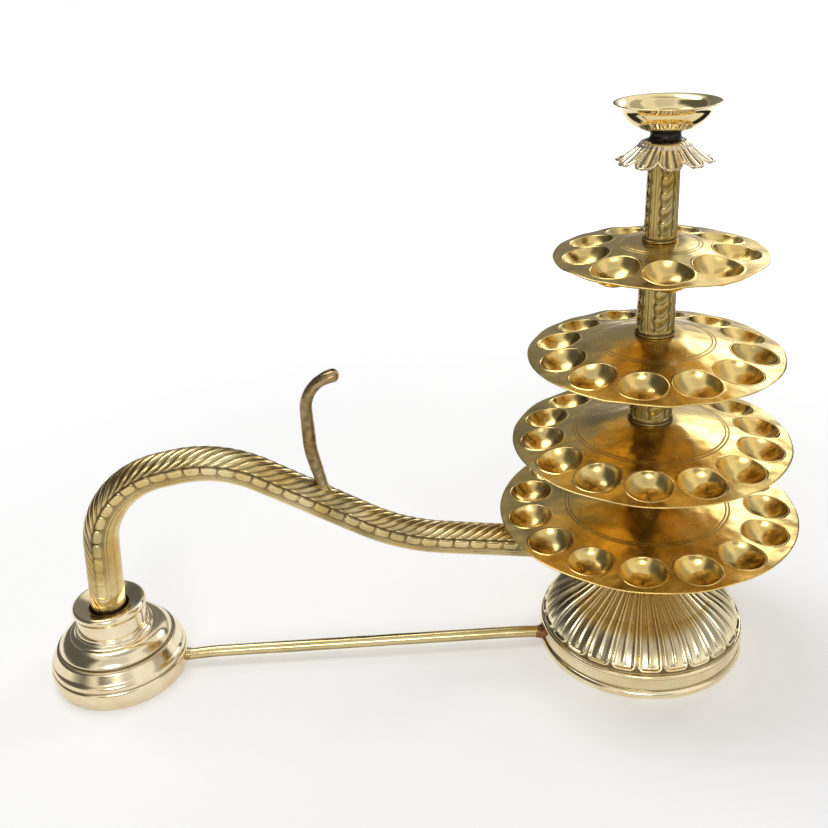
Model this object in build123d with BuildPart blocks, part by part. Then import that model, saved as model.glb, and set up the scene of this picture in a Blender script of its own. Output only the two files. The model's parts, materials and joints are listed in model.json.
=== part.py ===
"""Many-wick aarti lamp: stacked brass plates on a column, with a snake-bodied carrying handle."""

import math
import os

from build123d import *

os.makedirs("parts", exist_ok=True)

# Layout. The lamp column and the handle's foot stand on the X axis, on the floor Z = 0.
handle_span = 412.0
handle_bead_radius = 52.4
tier_radius = (70.0, 87.0, 98.0, 108.0)
column_x = (handle_span + handle_bead_radius - max(tier_radius)) / 2
handle_x = column_x - handle_span

# Fits
slip = 0.1
turn_fit = 0.05

# Stud through the column
rod_radius = 4.0
rod_tail = 3.0
rod_chamfer = 0.7
nut_height = 6.5
nut_across_flats = 13.0
washer_radius = 12.0
washer_thickness = 1.6

# Main foot
foot_radius = 78.0
foot_roll = 7.6
foot_roll_under = 4.0
foot_roll_over = 3.0
foot_groove = 0.8
foot_band_radius = 76.4
foot_band_height = 10.0
foot_ridge = 1.7
foot_dome_base = 75.0
foot_dome_bulge = 2.2
foot_dome_lift = 2.0
foot_shoulder_radius = 51.5
foot_shoulder_height = 48.4
foot_neck_radius = 22.5
foot_neck_flare = 10.5
foot_neck_drop = 9.5
foot_height = 70.0
foot_wall = 3.2
foot_crown = 4.0
flute_count = 48
flute_tool_radius = 7.0
flute_margin = 2.2
flute_depth_low = 1.35
flute_depth_mid = 1.0
flute_depth_high = 0.35

# Hub that takes the handle
hub_radius = 20.5
hub_flange = 2.5
hub_height = 56.5
hub_top_radius = 18.0
hub_socket_depth = 8.5

# Plates, listed from the top one down
tier_rise = (9.3, 14.6, 15.6, 9.5)
tier_cups = (9, 12, 14, 15)
tier_phase = (22.0, 10.0, -1.0, 15.6)
plate_sheet = 1.5
plate_sag = 1.2
plate_seat_radius = 19.0
cup_mouth_radius = 15.5
cup_depth = 11.0
cup_wall = 1.2
cup_inset = 21.0
cup_lip = 0.8

# Sleeves between the plates, listed from the top one down
sleeve_length = 63.5
sleeve_foot_radius = (11.0, 13.1, 15.2, 15.8)
sleeve_top_radius = (10.2, 12.0, 13.8, 14.5)
sleeve_wall = 2.0
sleeve_end = 3.0
sleeve_bead = 0.9
bushing_height = 4.0

# Petal collar, spool and bowl on top
petal_count = 10
petal_sheet = 1.2
petal_reach = 30.6
petal_drop = 13.4
petal_crown_radius = 13.0
petal_shoulder = 3.8
petal_shoulder_drop = 3.4
petal_belly = 8.8
petal_belly_drop = 9.4
petal_length = 9.5
petal_width = 14.2
petal_web = 1.5
spool_height = 6.0
spool_foot_radius = 12.0
spool_waist_radius = 9.6
spool_thread = 5.0
bowl_lip_radius = 33.3
bowl_body_radius = 28.5
bowl_foot_radius = 10.6
bowl_body_height = 13.0
bowl_belly_out = 2.0
bowl_belly_drop = 2.6
bowl_lip_height = 3.6
bowl_lip_curl = 0.7
bowl_sheet = 1.2

# Handle tube
handle_root_radius = 13.3
handle_tail_radius = 12.0
handle_wall = 2.5
handle_upright = 16.0
handle_lean = 9.9
handle_elbow_height = 166.2
handle_crest_reach = 102.0
handle_crest_height = 182.5
handle_sway_reach = 182.5
handle_tail_slope = 0.13
handle_clearance = 1.0
root_radius = 100.0
elbow_radius = 66.0
crest_radius = 88.0
sway_radius = 150.0

# Foot and collar at the handle's end
handle_foot_radius = 50.2
handle_foot_height = 42.6
handle_foot_wall = 2.6
handle_foot_bulge = 0.6
handle_foot_crown = 3.0
handle_bead_height = 12.5
handle_bead_gap = 7.0
handle_bead_rise = 2.2
handle_upper_inset = 1.5
handle_shoulder_inset = 3.2
handle_groove_depth = 1.6
handle_step_radius = 45.0
handle_step_height = 30.0
handle_tier_radius = 42.8
handle_tier_roll = 1.6
handle_crown_run = 9.2
handle_crown_drop = 2.0
handle_crown_bulge = 1.0
handle_cove = 2.4
handle_collar_radius = 26.4
handle_collar_height = 22.4
handle_collar_lip = 1.4
handle_collar_lip_height = 6.5
handle_collar_lip_roll = 2.6
handle_collar_flare = 2.0
handle_collar_flare_height = 3.0
handle_collar_ledge = 2.4
handle_socket_floor = 7.4
handle_recess = 4.0
plug_height = 12.0
bolt_radius = 4.0
bolt_head_height = 5.3
bolt_across_flats = 13.0
bolt_end_gap = 2.0

# Thumb rest on the handle
rest_share = 0.547
rest_lean = 9.2
rest_knee_height = 47.0
rest_knee_radius = 60.0
rest_height = 97.5
rest_bend = 26.0
rest_tip_run = 25.5
rest_tip_rise = 6.5
rest_root_width = 12.0
rest_root_depth = 9.6
rest_tip_radius = 4.3
rest_brazing_rim = 6.3
rest_brazing_rise = 0.9
rest_brazing_taper = 15.0

# Brace rod between the feet
brace_radius = 4.75
brace_height = 8.8
brace_let_in = 4.0
brazing_radius = 7.4
lamp_brazing_radius = 8.2
brazing_length = 5.0
brazing_taper = 14.0

# Heights that follow from the stack, from the foot up
hub_top = foot_height + hub_height
sleeve_pitch = sleeve_length + plate_sheet
tier_count = len(tier_radius)
tier_level = [hub_top + plate_sheet + sleeve_pitch * (tier_count - 1 - i) for i in range(tier_count)]
collar_level = tier_level[0] + sleeve_length
spool_level = collar_level + petal_sheet
bowl_level = spool_level + spool_height
crown_level = foot_height - foot_crown
rod_bottom = crown_level - washer_thickness - nut_height - rod_tail
rod_top = spool_level + spool_thread - slip
rod_hole = rod_radius + slip

column = Plane((column_x, 0, 0))
column_axis = Axis((column_x, 0, 0), (0, 0, 1))
column_profile = Plane((column_x, 0, 0), x_dir=(1, 0, 0), z_dir=(0, -1, 0))
handle_axis = Axis((handle_x, 0, 0), (0, 0, 1))
handle_profile = Plane((handle_x, 0, 0), x_dir=(1, 0, 0), z_dir=(0, -1, 0))

# Centre rod, a stud that holds foot, hub, sleeves and plates together
with BuildPart() as centre_rod:
    with BuildSketch(column.offset(rod_bottom)):
        Circle(rod_radius)
    extrude(amount=rod_top - rod_bottom)
    chamfer(centre_rod.edges().filter_by(GeomType.CIRCLE), rod_chamfer)
centre_rod.part.label = "centre_rod"
export_step(centre_rod.part, "parts/centre_rod.step")

with BuildPart() as foot_washer:
    with BuildSketch(column.offset(crown_level - washer_thickness)):
        Circle(washer_radius)
        Circle(rod_hole, mode=Mode.SUBTRACT)
    extrude(amount=washer_thickness)
foot_washer.part.label = "foot_washer"
export_step(foot_washer.part, "parts/foot_washer.step")

with BuildPart() as foot_nut:
    with BuildSketch(column.offset(crown_level - washer_thickness - nut_height)):
        RegularPolygon(nut_across_flats / 2, 6, major_radius=False)
        Circle(rod_hole, mode=Mode.SUBTRACT)
    extrude(amount=nut_height)
foot_nut.part.label = "foot_nut"
export_step(foot_nut.part, "parts/foot_nut.step")

# Main foot: rolled base edge, plain band, ridge, petal dome and neck, turned as one bell
band_low = foot_roll + foot_groove
band_high = band_low + foot_band_height
dome_low = band_high + 3 * foot_ridge
shoulder = (foot_shoulder_radius, foot_shoulder_height)
dome_mid = (
    (foot_dome_base + foot_shoulder_radius) / 2 + foot_dome_bulge,
    (dome_low + foot_shoulder_height) / 2 + foot_dome_lift,
)
neck_low = (foot_neck_radius + foot_neck_flare, foot_height - foot_neck_drop)
neck_mid = (foot_neck_radius + 0.3 * foot_neck_flare, foot_height - 0.55 * foot_neck_drop)
roll_foot = foot_radius - foot_roll_under
roll_top = foot_radius - foot_roll_over
with BuildPart() as foot_envelope:
    with BuildSketch(column_profile):
        with BuildLine():
            Line((0, 0), (roll_foot, 0))
            ThreePointArc((roll_foot, 0), (foot_radius, foot_roll / 2), (roll_top, foot_roll))
            Line((roll_top, foot_roll), (foot_band_radius, band_low))
            Line((foot_band_radius, band_low), (foot_band_radius, band_high))
            ThreePointArc(
                (foot_band_radius, band_high),
                (foot_band_radius + foot_ridge / 2, band_high + foot_ridge),
                (foot_dome_base, band_high + 2 * foot_ridge),
            )
            Line((foot_dome_base, band_high + 2 * foot_ridge), (foot_dome_base, dome_low))
            ThreePointArc((foot_dome_base, dome_low), dome_mid, shoulder)
            Line(shoulder, neck_low)
            ThreePointArc(neck_low, neck_mid, (foot_neck_radius, foot_height))
            Line((foot_neck_radius, foot_height), (0, foot_height))
            Line((0, foot_height), (0, 0))
        make_face()
    revolve(axis=column_axis)

# One flute of the dome: a round-nosed cut that runs up the petal and comes out at the neck
dome_slope = math.atan2(foot_shoulder_height - dome_low, foot_dome_base - foot_shoulder_radius)
neck_slope = math.atan2(neck_low[1] - foot_shoulder_height, foot_shoulder_radius - neck_low[0])
low_lift = flute_tool_radius - flute_depth_low
mid_lift = flute_tool_radius - flute_depth_mid
high_lift = flute_tool_radius - flute_depth_high
flute_low = (foot_dome_base + low_lift, dome_low + flute_margin)
flute_mid = (dome_mid[0] + mid_lift * math.sin(dome_slope), dome_mid[1] + mid_lift * math.cos(dome_slope))
flute_bend = (
    foot_shoulder_radius + mid_lift * math.sin(neck_slope),
    foot_shoulder_height + mid_lift * math.cos(neck_slope),
)
flute_high = (neck_low[0] + high_lift * math.sin(neck_slope), neck_low[1] + high_lift * math.cos(neck_slope))
with BuildPart() as flute:
    with BuildLine(Plane.XZ) as flute_path:
        ThreePointArc(flute_low, flute_mid, flute_bend)
        Line(flute_bend, flute_high)
    with BuildSketch(Plane(flute_path.line @ 0, z_dir=flute_path.line % 0)):
        Circle(flute_tool_radius)
    sweep(path=flute_path.wire(), transition=Transition.ROUND)

with BuildPart() as main_foot:
    add(foot_envelope.part)
    for first in range(4):
        turns = [360 / flute_count * i for i in range(first, flute_count, 4)]
        with Locations([column.location * Rot(0, 0, turn) for turn in turns]):
            add(flute.part, mode=Mode.SUBTRACT)
    with BuildSketch(column_profile):
        with BuildLine():
            inner_base = foot_dome_base - foot_wall - flute_depth_low
            inner_shoulder = (foot_shoulder_radius - foot_wall, foot_shoulder_height - foot_wall)
            inner_mid = (dome_mid[0] - foot_wall, dome_mid[1] - foot_wall)
            inner_neck = (foot_neck_radius + foot_neck_flare / 2 - foot_wall, crown_level - foot_wall)
            Line((0, 0), (inner_base, 0))
            Line((inner_base, 0), (inner_base, dome_low))
            ThreePointArc((inner_base, dome_low), inner_mid, inner_shoulder)
            Line(inner_shoulder, inner_neck)
            Line(inner_neck, (foot_neck_radius - foot_wall, crown_level))
            Line((foot_neck_radius - foot_wall, crown_level), (0, crown_level))
            Line((0, crown_level), (0, 0))
        make_face()
    revolve(axis=column_axis, mode=Mode.SUBTRACT)
    with BuildSketch(column):
        Circle(rod_hole)
    extrude(amount=foot_height, mode=Mode.SUBTRACT)
    with BuildSketch(Plane((column_x, 0, brace_height), x_dir=(0, 1, 0), z_dir=(-1, 0, 0))):
        Circle(brace_radius + slip)
    extrude(amount=foot_radius + brazing_length, mode=Mode.SUBTRACT)
main_foot.part.label = "main_foot"
export_step(main_foot.part, "parts/main_foot.step")

# Handle centreline, in the XZ plane: socket, elbow, crest, sway and the run under the lowest plate
low_tier = tier_count - 1
low_ring = tier_radius[low_tier] - cup_inset
low_share = (low_ring - plate_seat_radius) / (tier_radius[low_tier] - plate_seat_radius)
low_cup_floor = tier_level[low_tier] - tier_rise[low_tier] * low_share - plate_sag - cup_depth - cup_wall
socket_level = handle_foot_height + handle_socket_floor
tail_level = low_cup_floor - handle_clearance - handle_tail_radius


def tail_height(from_column):
    return tail_level + (from_column - low_ring) * handle_tail_slope


tail_end = hub_radius - hub_socket_depth
handle_points = [
    (handle_x, socket_level),
    (handle_x, socket_level + handle_upright),
    (handle_x + handle_lean, handle_elbow_height),
    (handle_x + handle_crest_reach, handle_crest_height),
    (column_x - handle_sway_reach, tail_height(handle_sway_reach)),
    (column_x - tail_end, tail_height(tail_end)),
]
handle_bends = [root_radius, elbow_radius, crest_radius, sway_radius]
with BuildLine(Plane.XZ) as handle_path:
    FilletPolyline(*handle_points, radius=handle_bends)
handle_start = Plane(handle_path.line @ 0, x_dir=(0, 1, 0), z_dir=handle_path.line % 0)
handle_stop = Plane(handle_path.line @ 1, x_dir=(0, 1, 0), z_dir=handle_path.line % 1)

with BuildPart() as handle_envelope:
    with BuildSketch(handle_start) as root_section:
        Circle(handle_root_radius)
    with BuildSketch(handle_stop) as tail_section:
        Circle(handle_tail_radius)
    sweep(
        sections=[root_section.sketch, tail_section.sketch],
        path=handle_path.wire(),
        multisection=True,
    )

with BuildPart() as handle_core:
    with BuildSketch(handle_start) as root_bore:
        Circle(handle_root_radius - handle_wall)
    with BuildSketch(handle_stop) as tail_bore:
        Circle(handle_tail_radius - handle_wall)
    sweep(
        sections=[root_bore.sketch, tail_bore.sketch],
        path=handle_path.wire(),
        multisection=True,
    )

with BuildPart() as handle:
    add(handle_envelope.part)
    add(handle_core.part, mode=Mode.SUBTRACT)
handle.part.label = "handle"
export_step(handle.part, "parts/handle.step")

# Hub between foot and lowest plate, bored from the side for the handle's tail
with BuildPart() as handle_hub:
    with BuildSketch(column_profile):
        with BuildLine():
            flange = hub_radius + hub_flange
            Line((rod_hole, foot_height), (flange, foot_height))
            ThreePointArc(
                (flange, foot_height),
                (flange + hub_flange / 2, foot_height + hub_flange / 2),
                (flange, foot_height + hub_flange),
            )
            Line((flange, foot_height + hub_flange), (hub_radius, foot_height + 2 * hub_flange))
            Line((hub_radius, foot_height + 2 * hub_flange), (hub_top_radius, hub_top))
            Line((hub_top_radius, hub_top), (rod_hole, hub_top))
            Line((rod_hole, hub_top), (rod_hole, foot_height))
        make_face()
    revolve(axis=column_axis)
    with BuildSketch(handle_stop):
        Circle(handle_tail_radius + slip)
    extrude(amount=-2 * hub_radius, mode=Mode.SUBTRACT)
handle_hub.part.label = "handle_hub"
export_step(handle_hub.part, "parts/handle_hub.step")

# Pressed cup: a bulge below the sheet and the round dish inside it
dish_radius = (cup_mouth_radius**2 + cup_depth**2) / (2 * cup_depth)
dish_lift = dish_radius - cup_depth
bulge_radius = dish_radius + cup_wall
bulge_top = -math.degrees(math.asin((dish_lift + plate_sheet / 2) / bulge_radius))

# Plates: shallow dished cones with a flat seat in the middle and a ring of cups near the rim
for tier in range(tier_count):
    radius = tier_radius[tier]
    level = tier_level[tier]
    rise = tier_rise[tier]
    seat = Vector(plate_seat_radius, level)
    slope_mid = Vector((plate_seat_radius + radius) / 2, level - rise / 2 - plate_sag)
    rim = Vector(radius, level - rise)
    under = Vector(0, -plate_sheet)
    bore = Vector(rod_radius + turn_fit, level)
    cup_step = 360 / tier_cups[tier]
    between_cups = math.radians(tier_phase[tier] + cup_step / 2)
    outward = Vector(math.cos(between_cups), math.sin(between_cups), 0)
    with BuildPart() as plate:
        with BuildSketch(Plane((column_x, 0, 0), x_dir=outward, z_dir=outward.cross(Vector(0, 0, 1)))):
            with BuildLine():
                slope = ThreePointArc(seat, slope_mid, rim)
                Line(rim, rim + under)
                ThreePointArc(rim + under, slope_mid + under, seat + under)
                Line(seat + under, bore + under)
                Line(bore + under, bore)
                Line(bore, seat)
            make_face()
        revolve(axis=column_axis)
        ring_share = (radius - cup_inset - plate_seat_radius) / (radius - plate_seat_radius)
        cup_point = slope @ ring_share
        cup_run = slope % ring_share
        cup_lean = math.degrees(math.atan2(-cup_run.Y, cup_run.X))
        cup_places = [
            Pos(column_x, 0, 0)
            * Rot(0, 0, tier_phase[tier] + cup_step * i)
            * Pos(cup_point.X, 0, cup_point.Y)
            * Rot(0, cup_lean, 0)
            * Pos(0, 0, dish_lift)
            for i in range(tier_cups[tier])
        ]
        with Locations(cup_places):
            Sphere(bulge_radius, arc_size2=bulge_top, align=None)
        with Locations(cup_places):
            Sphere(dish_radius, mode=Mode.SUBTRACT)
        fillet(plate.edges(Select.LAST).filter_by(GeomType.BSPLINE), cup_lip)
    plate.part.label = f"tier_plate_{tier + 1}"
    export_step(plate.part, f"parts/tier_plate_{tier + 1}.step")

# Sleeves: tapering tubes with a rolled bead at the foot and a bored end wall on top
for tier in range(tier_count):
    foot_level = tier_level[tier]
    sleeve_bore = sleeve_top_radius[tier] - sleeve_wall
    top_level = foot_level + sleeve_length
    foot_edge = sleeve_foot_radius[tier]
    with BuildPart() as sleeve:
        with BuildSketch(column_profile):
            with BuildLine():
                Line((sleeve_bore, foot_level), (foot_edge, foot_level))
                ThreePointArc(
                    (foot_edge, foot_level),
                    (foot_edge + sleeve_bead, foot_level + sleeve_bead),
                    (foot_edge, foot_level + 2 * sleeve_bead),
                )
                Line((foot_edge, foot_level + 2 * sleeve_bead), (sleeve_top_radius[tier], top_level))
                Line((sleeve_top_radius[tier], top_level), (rod_hole, top_level))
                Line((rod_hole, top_level), (rod_hole, top_level - sleeve_end))
                Line((rod_hole, top_level - sleeve_end), (sleeve_bore, top_level - sleeve_end))
                Line((sleeve_bore, top_level - sleeve_end), (sleeve_bore, foot_level))
            make_face()
        revolve(axis=column_axis)
    sleeve.part.label = f"column_sleeve_{tier + 1}"
    export_step(sleeve.part, f"parts/column_sleeve_{tier + 1}.step")

# Centring rings at the sleeves' feet, one to a sleeve
with BuildPart() as sleeve_bushings:
    for tier in range(tier_count):
        with BuildSketch(column.offset(tier_level[tier])):
            Circle(sleeve_top_radius[tier] - sleeve_wall - slip)
            Circle(rod_hole, mode=Mode.SUBTRACT)
        extrude(amount=bushing_height)
sleeve_bushings.part.label = "sleeve_bushings"
export_step(sleeve_bushings.part, "parts/sleeve_bushings.step")

# Petal collar: a drooping sheet skirt cut to a ring of rounded petals
petal_tip = collar_level - petal_drop + petal_sheet
crown_edge = (petal_crown_radius, spool_level)
crown_turn = (petal_crown_radius + 0.62 * petal_shoulder, spool_level - petal_shoulder_drop / 3)
skirt_top = (petal_crown_radius + petal_shoulder, spool_level - petal_shoulder_drop)
skirt_mid = (petal_crown_radius + petal_belly, spool_level - petal_belly_drop)
skirt_tip = (petal_reach, petal_tip)
with BuildPart() as petal_collar:
    with BuildSketch(column_profile):
        with BuildLine():
            drop = Vector(0, -petal_sheet)
            Line((rod_hole, spool_level), crown_edge)
            ThreePointArc(crown_edge, crown_turn, skirt_top)
            ThreePointArc(skirt_top, skirt_mid, skirt_tip)
            Line(skirt_tip, Vector(*skirt_tip) + drop)
            inner_top = (skirt_top[0] - petal_sheet, skirt_top[1] - petal_sheet / 2)
            inner_mid = (skirt_mid[0] - petal_sheet / 2, skirt_mid[1] - petal_sheet)
            ThreePointArc(Vector(*skirt_tip) + drop, inner_mid, inner_top)
            Line(inner_top, (petal_crown_radius, collar_level))
            Line((petal_crown_radius, collar_level), (rod_hole, collar_level))
            Line((rod_hole, collar_level), (rod_hole, spool_level))
        make_face()
    revolve(axis=column_axis)
    with BuildSketch(column.offset(petal_tip - 2 * petal_sheet)):
        petal_centre = petal_reach - petal_length
        Circle(petal_centre - petal_web)
        with PolarLocations(petal_centre, petal_count):
            Ellipse(petal_length, petal_width / 2)
        Circle(rod_hole, mode=Mode.SUBTRACT)
    extrude(amount=2 * petal_drop, mode=Mode.INTERSECT)
petal_collar.part.label = "petal_collar"
export_step(petal_collar.part, "parts/petal_collar.step")

# Waisted spool, threaded on to the rod's end
with BuildPart() as neck_spool:
    with BuildSketch(column_profile):
        with BuildLine():
            Line((0, spool_level), (spool_foot_radius, spool_level))
            ThreePointArc(
                (spool_foot_radius, spool_level),
                (spool_waist_radius, spool_level + 0.58 * spool_height),
                (bowl_foot_radius, bowl_level),
            )
            Line((bowl_foot_radius, bowl_level), (0, bowl_level))
            Line((0, bowl_level), (0, spool_level))
        make_face()
    revolve(axis=column_axis)
    with BuildSketch(column.offset(spool_level)):
        Circle(rod_hole)
    extrude(amount=spool_thread, mode=Mode.SUBTRACT)
neck_spool.part.label = "neck_spool"
export_step(neck_spool.part, "parts/neck_spool.step")

# Bowl: round sheet body with a flaring lip
lip_level = bowl_level + bowl_body_height
with BuildPart() as top_bowl:
    with BuildSketch(column_profile):
        with BuildLine():
            body_edge = Vector(bowl_body_radius, lip_level)
            body_mid = Vector(
                (bowl_foot_radius + bowl_body_radius) / 2 + bowl_belly_out,
                (bowl_level + lip_level) / 2 - bowl_belly_drop,
            )
            lip_mid = Vector(
                (bowl_body_radius + bowl_lip_radius) / 2 - bowl_lip_curl,
                lip_level + 0.62 * bowl_lip_height,
            )
            lip_edge = Vector(bowl_lip_radius, lip_level + bowl_lip_height)
            inward = Vector(-bowl_sheet, 0)
            upward = Vector(0, bowl_sheet)
            Line((0, bowl_level), (bowl_foot_radius, bowl_level))
            ThreePointArc((bowl_foot_radius, bowl_level), body_mid, body_edge)
            ThreePointArc(body_edge, lip_mid, lip_edge)
            Line(lip_edge, lip_edge + upward * 0.7)
            ThreePointArc(lip_edge + upward * 0.7, lip_mid + upward * 0.8 + inward / 2, body_edge + inward)
            ThreePointArc(
                body_edge + inward,
                body_mid + upward * 0.8 + inward * 0.7,
                (bowl_foot_radius - 0.2 * bowl_sheet, bowl_level + bowl_sheet),
            )
            Line((bowl_foot_radius - 0.2 * bowl_sheet, bowl_level + bowl_sheet), (0, bowl_level + bowl_sheet))
            Line((0, bowl_level + bowl_sheet), (0, bowl_level))
        make_face()
    revolve(axis=column_axis)
top_bowl.part.label = "top_bowl"
export_step(top_bowl.part, "parts/top_bowl.step")

# Stepped bell foot under the handle
upper_bead = handle_bead_height + handle_bead_gap
step_low = (handle_step_radius, handle_step_height)
tier_low = (handle_tier_radius - handle_tier_roll, handle_step_height + handle_tier_roll / 4)
tier_turn = (handle_tier_radius - handle_tier_roll / 3, handle_step_height + 0.7 * handle_tier_roll)
tier_edge = Vector(handle_tier_radius, handle_step_height + 1.5 * handle_tier_roll)
cove_out = Vector(handle_tier_radius - handle_crown_run, handle_foot_height - handle_crown_drop)
tier_mid = (tier_edge + cove_out) / 2 + Vector(handle_crown_bulge, 0.7 * handle_crown_bulge)
cove_mid = (handle_collar_radius + 1.8 * handle_cove, handle_foot_height - 0.8 * handle_crown_drop)
cove_in = (handle_collar_radius + handle_cove, handle_foot_height)
with BuildPart() as handle_foot_envelope:
    with BuildSketch(handle_profile):
        with BuildLine():
            base_mid = ((handle_foot_radius + handle_bead_radius) / 2 + handle_foot_bulge, handle_bead_height / 2)
            bead = Vector(handle_bead_radius, handle_bead_height)
            groove = bead + Vector(-handle_groove_depth, handle_bead_gap / 2)
            bead_turn = bead + Vector(-handle_groove_depth / 5, 0.27 * handle_bead_gap)
            bead_top = Vector(handle_bead_radius - handle_shoulder_inset, upper_bead + handle_bead_rise)
            Line((0, 0), (handle_foot_radius, 0))
            ThreePointArc((handle_foot_radius, 0), base_mid, bead)
            ThreePointArc(bead, bead_turn, groove)
            ThreePointArc(groove, (handle_bead_radius - handle_upper_inset, upper_bead), bead_top)
            Line(bead_top, step_low)
            Line(step_low, tier_low)
            ThreePointArc(tier_low, tier_turn, tier_edge)
            ThreePointArc(tier_edge, tier_mid, cove_out)
            ThreePointArc(cove_out, cove_mid, cove_in)
            Line(cove_in, (0, handle_foot_height))
            Line((0, handle_foot_height), (0, 0))
        make_face()
    revolve(axis=handle_axis)

with BuildPart() as handle_foot:
    add(handle_foot_envelope.part)
    crown_under = handle_foot_height - handle_foot_crown
    with BuildSketch(handle_profile):
        with BuildLine():
            low_bore = handle_foot_radius - handle_foot_wall
            high_bore = handle_tier_radius - 2 * handle_foot_wall
            Line((0, 0), (low_bore, 0))
            Line((low_bore, 0), (low_bore, upper_bead))
            Line((low_bore, upper_bead), (high_bore, handle_step_height))
            Line((high_bore, handle_step_height), (handle_collar_radius, crown_under))
            Line((handle_collar_radius, crown_under), (0, crown_under))
            Line((0, crown_under), (0, 0))
        make_face()
    revolve(axis=handle_axis, mode=Mode.SUBTRACT)
    with BuildSketch(Plane((handle_x, 0, 0))):
        Circle(bolt_radius + slip)
    extrude(amount=handle_foot_height, mode=Mode.SUBTRACT)
    with BuildSketch(Plane((handle_x, 0, brace_height), x_dir=(0, 1, 0), z_dir=(1, 0, 0))):
        Circle(brace_radius + slip)
    extrude(amount=handle_bead_radius + brazing_length, mode=Mode.SUBTRACT)
handle_foot.part.label = "handle_foot"
export_step(handle_foot.part, "parts/handle_foot.step")

# Rolled collar on that foot: a lip, a dished recess and the socket for the tube
collar_top = handle_foot_height + handle_collar_height
with BuildPart() as handle_collar:
    with BuildSketch(handle_profile):
        with BuildLine():
            base = handle_collar_radius + handle_collar_flare
            lip = handle_collar_radius + handle_collar_lip
            lip_top = lip - handle_collar_lip_roll
            wall_low = (handle_collar_radius, handle_foot_height + handle_collar_flare_height)
            wall_high = (handle_collar_radius, collar_top - handle_collar_lip_height)
            flare_mid = (
                handle_collar_radius + 0.3 * handle_collar_flare,
                handle_foot_height + 0.3 * handle_collar_flare_height,
            )
            socket = handle_root_radius + slip
            recess = (socket + handle_collar_ledge, collar_top - handle_recess)
            recess_mid = ((lip_top + recess[0]) / 2, collar_top - 0.45 * handle_recess)
            Line((bolt_radius + slip, handle_foot_height), (base, handle_foot_height))
            ThreePointArc((base, handle_foot_height), flare_mid, wall_low)
            Line(wall_low, wall_high)
            ThreePointArc(wall_high, (lip, collar_top - handle_collar_lip_height / 2), (lip_top, collar_top))
            ThreePointArc((lip_top, collar_top), recess_mid, recess)
            Line(recess, (socket, collar_top - handle_recess))
            Line((socket, collar_top - handle_recess), (socket, socket_level))
            Line((socket, socket_level), (bolt_radius + slip, socket_level))
            Line((bolt_radius + slip, socket_level), (bolt_radius + slip, handle_foot_height))
        make_face()
    revolve(axis=handle_axis)
handle_collar.part.label = "handle_collar"
export_step(handle_collar.part, "parts/handle_collar.step")

# Plug in the tube's end, and the bolt and washer that draw the foot up to it
with BuildPart() as handle_plug:
    with BuildSketch(Plane((handle_x, 0, socket_level))):
        Circle(handle_root_radius - handle_wall - slip)
        Circle(bolt_radius + slip, mode=Mode.SUBTRACT)
    extrude(amount=plug_height)
handle_plug.part.label = "handle_plug"
export_step(handle_plug.part, "parts/handle_plug.step")

head_top = crown_under - washer_thickness
with BuildPart() as handle_washer:
    with BuildSketch(Plane((handle_x, 0, head_top))):
        Circle(washer_radius)
        Circle(bolt_radius + slip, mode=Mode.SUBTRACT)
    extrude(amount=washer_thickness)
handle_washer.part.label = "handle_washer"
export_step(handle_washer.part, "parts/handle_washer.step")

with BuildPart() as handle_bolt:
    with BuildSketch(Plane((handle_x, 0, head_top - bolt_head_height))):
        RegularPolygon(bolt_across_flats / 2, 6, major_radius=False)
    extrude(amount=bolt_head_height)
    with BuildSketch(Plane((handle_x, 0, head_top))):
        Circle(bolt_radius)
    extrude(amount=socket_level + plug_height - bolt_end_gap - head_top)
handle_bolt.part.label = "handle_bolt"
export_step(handle_bolt.part, "parts/handle_bolt.step")

# Thumb rest: a slim snake that rises from the handle's back and bends over towards the lamp
rest_foot = handle_path.line @ rest_share
rest_back = rest_foot.X - rest_lean
rest_points = [
    (rest_foot.X, rest_foot.Z),
    (rest_back, rest_foot.Z + rest_knee_height),
    (rest_back, rest_foot.Z + rest_height),
    (rest_back + rest_tip_run, rest_foot.Z + rest_height + rest_tip_rise),
]
with BuildPart() as thumb_rest:
    with BuildLine(Plane.XZ) as rest_path:
        FilletPolyline(*rest_points, radius=[rest_knee_radius, rest_bend])
    rest_plane = Plane(rest_path.line @ 0, x_dir=(0, 1, 0), z_dir=rest_path.line % 0)
    with BuildSketch(rest_plane) as rest_low:
        Ellipse(rest_root_width / 2, rest_root_depth / 2)
    with BuildSketch(Plane(rest_path.line @ 1, x_dir=(0, 1, 0), z_dir=rest_path.line % 1)) as rest_high:
        Circle(rest_tip_radius)
    sweep(sections=[rest_low.sketch, rest_high.sketch], path=rest_path.wire(), multisection=True)
    with Locations(rest_path.line @ 1):
        Sphere(rest_tip_radius)
    add(handle_envelope.part, mode=Mode.SUBTRACT)
thumb_rest.part.label = "thumb_rest"
export_step(thumb_rest.part, "parts/thumb_rest.step")

# Mound of brazing round the rest's root, lying on the tube and as high as the tube's slope there needs
rest_slant = math.asin(abs((handle_path.line % rest_share).dot(rest_path.line % 0)))
rest_exit = handle_root_radius / math.cos(rest_slant) + rest_root_depth / 2 * math.tan(rest_slant)
mound_level = handle_tail_radius / 2
mound_height = rest_exit + rest_brazing_rise - mound_level
with BuildPart() as thumb_rest_brazing:
    with BuildSketch(rest_plane.offset(mound_level)):
        Circle(rest_brazing_rim + mound_height * math.tan(math.radians(rest_brazing_taper)))
    extrude(amount=mound_height, taper=rest_brazing_taper)
    add(handle_envelope.part, mode=Mode.SUBTRACT)
    add(thumb_rest.part, mode=Mode.SUBTRACT)
thumb_rest_brazing.part.label = "thumb_rest_brazing"
export_step(thumb_rest_brazing.part, "parts/thumb_rest_brazing.step")

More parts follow.
